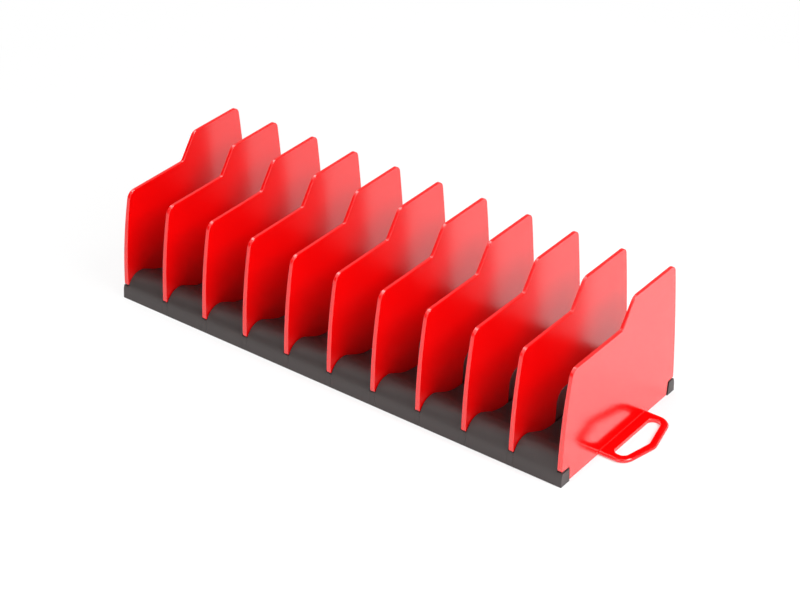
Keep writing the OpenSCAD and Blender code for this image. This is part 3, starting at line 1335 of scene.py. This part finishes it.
@dataclass(frozen=True)
class Underside:
    """Sizes and parts of the underside: the screw holes and the bottom plate.

    Attributes:
        layout: Shared sizes.
        front: Front half of the base's floor.
        rear: Rear half of the base's floor.
        corner_r: Radius of the bottom plate's corners.
        edge: Radius of the rounded edges.
    """

    layout: Layout
    front: HalfFloor
    rear: HalfFloor
    corner_r: float = 1.5
    edge: float = 0.3

    def screw_ys(self) -> tuple[float, float]:
        """Places of the two rows of screws, from the middle of the base."""
        lay = self.layout
        front = self.front.crest_y + lay.screw_in - lay.mid
        return front, lay.mid - self.rear.crest_y - lay.screw_in

    def drilled(self, plate: Outline, xs: Sequence[float], shell: Shell) -> None:
        """Adds a level plate with countersunk holes.

        Args:
            plate: Outline of the plate as places along and across the row, with the plate on its left.
            xs: Places of its holes along the row.
            shell: The mesh in the making.
        """
        lay = self.layout

        def level(point: Point, over: float) -> Vector:
            """Place of a point of the plate in metres, with the holes wider below."""
            for x, y in middles:
                reach = Vector(point) - Vector((x, y))
                if reach.length < lay.head_d:
                    wide = lay.head_d if over < 0 else lay.pass_d
                    point = tuple(Vector((x, y)) + reach * (wide / lay.pass_d))
            return Vector((point[0], point[1], lay.pan_mid + over)) * MM

        middles = [(x, y) for x in xs for y in self.screw_ys()]
        holes = [arc(middle, lay.pass_d / 2, 360, 0, HOLE_STEPS)[:-1] for middle in middles]
        shell.slab([plate, *holes], lambda _: lay.pan_t / 2, level, self.edge)

    def build(self, finish: bpy.types.Material) -> None:
        """Builds the bottom plate and puts it in the place of its solid.

        Args:
            finish: Material of the bottom plate.
        """
        lay = self.layout
        lean = [math.radians(half.tilt) for half in (self.front, self.rear)]
        top = lay.pan_lift + lay.pan_t
        lips = [self.front.wall / math.cos(a) + top * math.tan(a) + lay.fit for a in lean]
        x, front, rear = lay.flange_in - lay.fit, lips[0] - lay.mid, lay.mid - lips[1]
        corners = [(-x, front), (x, front), (x, rear), (-x, rear)]
        shell = Shell()
        mid_x = lay.mid_screw_slots * lay.pitch
        self.drilled(rounded([(corner, self.corner_r) for corner in corners]), (-mid_x, mid_x), shell)
        settle(shell.build("bottom_cover", finish), Slot.CHARCOAL, "bottom_plate")


@dataclass(frozen=True)
class PullLoop:
    """Outline of a flat pull loop, measured out from an end plate's face and along it.

    Attributes:
        layout: Shared sizes.
        width: Width along the end plate.
        reach: How far it reaches out.
        bar: Width of its outer arm.
        side_bar: Width of its two side arms.
        root: Width of the bar along the end plate.
        slant: Slant of the outer side in degrees, from each corner to the point.
        apex: Distance of the point behind the loop's middle.
        corner_r: Radius of the outer corners.
        hole_r: Radius of the corners of the opening.
        shift: Distance of its middle behind the middle of the base.
        lift: Gap under it.
        edge: Radius of the rounded outer edges.
        hole_edge: Radius of the rounded edges of the opening.
        taper: How far its sides lean in towards the top, from the middle of their height.
        root_r: Radius of the corners that are sunk in the end plate.
        fillet_r: Radius of the hollow along the end plate's face.
        fillet_sunk: How far the hollow's back is sunk in the loop and in the end plate.
    """

    layout: Layout
    width: float = 48.6
    reach: float = 22.7
    bar: float = 4.25
    side_bar: float = 4.65
    root: float = 5.9
    slant: float = 13.6
    apex: float = -1.2
    corner_r: float = 8.2
    hole_r: float = 4.0
    shift: float = 3.9
    lift: float = 0.1
    edge: float = 1.1
    hole_edge: float = 0.3
    taper: float = 0.1
    root_r: float = 1.4
    fillet_r: float = 0.6
    fillet_sunk: float = 0.3

    def loops(self) -> list[Outline]:
        """Draws the loop and its opening.

        Returns:
            The outer outline, with the loop on its left, and the opening's, turned the other way.
        """
        lean = math.radians(self.slant)
        half, inner = self.width / 2, self.width / 2 - self.side_bar
        point = self.reach - self.bar / math.cos(lean)
        sunk = -self.layout.foot_t / 2
        outer = [
            ((sunk, -half), self.root_r),
            ((self.reach - (half + self.apex) * math.tan(lean), -half), self.corner_r),
            ((self.reach, self.apex), self.corner_r),
            ((self.reach - (half - self.apex) * math.tan(lean), half), self.corner_r),
            ((sunk, half), self.root_r),
        ]
        front, rear = (point - (inner + turn * self.apex) * math.tan(lean) for turn in (1, -1))
        hole = [(self.root, inner), (rear, inner), (point, self.apex), (front, -inner), (self.root, -inner)]
        return [rounded(outer), rounded([(corner, self.hole_r) for corner in hole])]

    def add(self, shell: Shell, side: Side) -> None:
        """Adds the loop to an end plate.

        Args:
            shell: The end plate's mesh in the making.
            side: The end of the rack.
        """
        lay = self.layout
        half = (lay.pan_lift + lay.pan_t - self.lift) / 2

        def level(point: Point, over: float) -> Vector:
            """Place of a point of the loop in metres."""
            x = side.value * (lay.face_x + point[0])
            return Vector((x, self.shift + point[1], self.lift + half + over)) * MM

        def along(point: Point, over: float) -> Vector:
            """Place of a point of the hollow in metres."""
            x = side.value * (lay.face_x + point[0])
            return Vector((x, self.shift + over, self.lift + 2 * half + point[1])) * MM

        shell.slab(self.loops(), lambda _: half, level, self.edge, self.taper, self.hole_edge)
        r, sunk = self.fillet_r, self.fillet_sunk
        hollow = [(-sunk, -sunk), (r, -sunk), *arc((r, r), r, 270, 180, EDGE_STEPS), (-sunk, r)]
        length = self.width / 2 - self.edge - self.taper - r
        shell.slab([hollow], lambda _: length, along, sunk / 2)


@dataclass(frozen=True)
class EndPlates:
    """The outer plates, which go down to the table, each with a pull loop and a flange under the base.

    Attributes:
        form: Outline of the plates.
        loop: The pull loop.
        underside: The screw holes.
    """

    form: PlateForm
    loop: PullLoop
    underside: Underside

    def outline(self) -> Outline:
        """Draws an end plate between the ends of the lips.

        Returns:
            The closed outline, with the plate on its left.
        """
        lay = self.form.layout
        low, high = lay.pan_lift, lay.lip_h + lay.tab_fit
        front = [(lay.tab_at(lay.front_tab, z) + lay.tab_fit, z) for z in (high, low)]
        rear = [(lay.depth - lay.tab_at(lay.rear_tab, z) - lay.tab_fit, z) for z in (low, high)]
        return self.form.soften(front + rear + self.form.edge_line(high))

    def flange(self, side: Side) -> Outline:
        """Draws the flange under the base.

        Args:
            side: The end of the rack.

        Returns:
            The outline as places along and across the row, with the flange on its left.
        """
        lay = self.form.layout
        front = lay.front_tab[0] + lay.tab_fit - lay.mid
        rear = lay.mid - lay.rear_tab[0] - lay.tab_fit
        xs = sorted((side.value * lay.flange_in, side.value * lay.end_x))
        corners = [(xs[0], front), (xs[1], front), (xs[1], rear), (xs[0], rear)]
        return rounded([(corner, self.form.corner_r) for corner in corners])

    def build(self, finishes: dict[Side, bpy.types.Material]) -> None:
        """Builds both end plates and puts them in the place of their solids.

        Args:
            finishes: Material of the end plate at each end.
        """
        lay = self.form.layout
        outline = self.outline()
        for side in Side:
            shell = Shell()
            place = lay.upright(side.value * lay.end_x)
            shell.slab([outline], self.form.half_t, place, self.form.edge)
            screw_x = side.value * (lay.bed_x - lay.flange_w / 2)
            self.underside.drilled(self.flange(side), (screw_x,), shell)
            self.loop.add(shell, side)
            name = side.name.lower()
            settle(shell.build(f"end_plate_{name}", finishes[side]), Slot.RED, f"{name}_end_plate")


# The studio


@dataclass(frozen=True)
class Softbox:
    """A soft lamp.

    Attributes:
        name: Name of the lamp.
        place: Where it hangs, in metres.
        width: Its first side in metres.
        length: Its second side in metres.
        power: Its power in watts.
        aim: Where it points, in metres.
    """

    name: str
    place: tuple[float, float, float]
    width: float
    length: float
    power: float
    aim: tuple[float, float, float] = (0.0, 0.0, 0.03)

    def build(self) -> None:
        """Hangs the lamp."""
        data = bpy.data.lights.new(self.name, "AREA")
        data.shape = "RECTANGLE"
        data.size, data.size_y = self.width, self.length
        data.energy = self.power
        lamp = bpy.data.objects.new(self.name, data)
        lamp.location = self.place
        lamp.rotation_euler = (Vector(self.aim) - lamp.location).to_track_quat("-Z", "Y").to_euler()
        bpy.context.scene.collection.objects.link(lamp)


@dataclass(frozen=True)
class Studio:
    """The camera, the floor and the light.

    Attributes:
        azimuth: Turn of the camera from the front towards the right, in degrees.
        elevation: Height of the camera in degrees.
        roll: Turn of the camera about its own axis, in degrees.
        aim: Point that the camera looks at, in metres.
        distance: Distance of the camera from that point, in metres.
        lens: Focal length in millimetres.
        sensor: Width of the sensor in millimetres.
        floor_half: Half of the floor's side in metres.
        floor_colour: Colour of the floor.
        floor_white: Share of plain white in what is seen of the floor, left and right of the rack.
        floor_blend: Distance of those two places from the middle in metres.
        floor_far: Distances in metres from the middle at which the floor starts to be, and is, plain white.
        sky: Strength of the light from above.
        horizon: Heights at which the white of the horizon starts and stops to fade, as sines.
        lamps: The lamps.
    """

    azimuth: float = 38.661
    elevation: float = 32.591
    roll: float = -1.443
    aim: tuple[float, float, float] = (0.02184, -0.01561, 0.04571)
    distance: float = 1.25
    lens: float = 98.53
    sensor: float = 36.0
    floor_half: float = 30.0
    floor_colour: tuple[float, float, float] = (0.9, 0.9, 0.9)
    floor_white: tuple[float, float] = (0.95, 0.2)
    floor_blend: float = 0.3
    floor_far: tuple[float, float] = (0.3, 0.5)
    sky: float = 0.01
    horizon: tuple[float, float] = (0.05, 0.22)
    lamps: tuple[Softbox, ...] = (
        Softbox("key_softbox", (1.05, 0.08, 1.22), 0.9, 0.9, 24.3),
        Softbox("side_softbox", (1.3, -0.6, 0.8), 0.9, 0.9, 5.0),
        Softbox("front_softbox", (0.0, -1.4, 0.9), 0.9, 0.9, 8.2),
        Softbox("front_left_softbox", (-0.55, -0.55, 1.2), 0.8, 0.8, 2.6),
        Softbox("high_left_softbox", (-0.74, 0.22, 1.17), 0.6, 0.6, 5.9),
        Softbox("overhead_softbox", (0.0, 0.0, 1.4), 0.9, 0.9, 2.4),
        Softbox("back_left_softbox", (-0.8, 1.0, 0.82), 1.2, 1.2, 1.5),
    )

    def build_camera(self) -> None:
        """Sets up the camera."""
        turn, rise = math.radians(self.azimuth), math.radians(self.elevation)
        away = Vector((math.sin(turn) * math.cos(rise), -math.cos(turn) * math.cos(rise), math.sin(rise)))
        data = bpy.data.cameras.new("camera")
        data.lens, data.sensor_width, data.sensor_fit = self.lens, self.sensor, "HORIZONTAL"
        camera = bpy.data.objects.new("camera", data)
        upright = (-away).to_track_quat("-Z", "Y").to_matrix().to_4x4()
        spin = Matrix.Rotation(math.radians(self.roll), 4, "Z")
        camera.matrix_world = Matrix.Translation(Vector(self.aim) + away * self.distance) @ upright @ spin
        bpy.context.scene.collection.objects.link(camera)
        bpy.context.scene.camera = camera

    def build_floor(self) -> None:
        """Lays the floor, which looks white and keeps the rack's shadow."""
        half = self.floor_half
        mesh = bpy.data.meshes.new("floor")
        corners = [(-half, -half, 0), (half, -half, 0), (half, half, 0), (-half, half, 0)]
        mesh.from_pydata(corners, [], [(0, 1, 2, 3)])
        floor = bpy.data.objects.new("floor", mesh)
        bpy.context.scene.collection.objects.link(floor)
        made, wire, shader = new_material("white_floor")
        shader.inputs["Base Color"].default_value = (*self.floor_colour, 1)
        shader.inputs["Roughness"].default_value = 1.0
        shader.inputs["Specular IOR Level"].default_value = 0.0
        glow = wire.node("ShaderNodeEmission")
        path = wire.node("ShaderNodeLightPath").outputs
        blend = wire.node("ShaderNodeMixShader")
        mirrored = wire.math("ADD", path["Is Glossy Ray"], path["Is Transmission Ray"])
        seen = wire.math("ADD", path["Is Camera Ray"], mirrored)
        place = wire.node("ShaderNodeTexCoord").outputs["Object"]
        along = wire.node("ShaderNodeSeparateXYZ")
        away = wire.node("ShaderNodeVectorMath", operation="LENGTH")
        wire.join(place, along.inputs[0])
        wire.join(place, away.inputs[0])
        near = wire.fade(along.outputs["X"], (-self.floor_blend, self.floor_blend), self.floor_white)
        share = wire.math("MAXIMUM", near, wire.fade(away.outputs["Value"], self.floor_far, (0.0, 1.0)))
        wire.join(wire.math("MULTIPLY", wire.math("MINIMUM", seen, 1.0), share), blend.inputs[0])
        wire.join(shader.outputs[0], blend.inputs[1])
        wire.join(glow.outputs[0], blend.inputs[2])
        wire.join(blend.outputs[0], made.node_tree.nodes["Material Output"].inputs["Surface"])
        mesh.materials.append(made)

    def build_light(self) -> None:
        """Hangs the lamps and lights the sky."""
        for lamp in self.lamps:
            lamp.build()
        world = bpy.data.worlds.new("studio")
        world.use_nodes = True
        bpy.context.scene.world = world
        wire = Wiring(world.node_tree)
        height = wire.node("ShaderNodeSeparateXYZ")
        wire.join(wire.node("ShaderNodeTexCoord").outputs["Generated"], height.inputs[0])
        light = world.node_tree.nodes["Background"].inputs
        wire.join((1, 1, 1, 1), light["Color"])
        wire.join(wire.fade(height.outputs["Z"], self.horizon, (1.0, self.sky)), light["Strength"])
        bpy.context.scene.view_settings.view_transform = "Standard"

    def build(self) -> None:
        """Builds the whole studio."""
        self.build_camera()
        self.build_floor()
        self.build_light()


def main() -> None:
    """Builds the studio and the rack, piece by piece."""
    logging.basicConfig(level=logging.INFO, format="%(message)s")
    Studio().build()
    finishes = Finishes()
    layout = Layout()
    front = HalfFloor(layout, crest_y=11.5, tilt=6.0)
    rear = HalfFloor(layout, crest_y=10.5, tilt=1.0)
    form, key = PlateForm(layout), KeyForm(layout)
    underside = Underside(layout, front, rear)
    Bed(layout, front, rear).build(finishes.charcoal)
    # The tongues take the charcoal with painted light; necks and ledges take the plain charcoal.
    Keys(key).build(finishes.key, finishes.charcoal)
    Dividers(form, key, front, rear).build(finishes.red)
    end_finishes = {Side.LEFT: finishes.red, Side.RIGHT: finishes.gloss}
    EndPlates(form, PullLoop(layout), underside).build(end_finishes)
    underside.build(finishes.charcoal)
    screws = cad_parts["bottom_screws"]
    screws.data.materials.clear()
    screws.data.materials.append(finishes.steel)
    log.info("bottom_screws: plated")


if __name__ == "__main__":
    main()
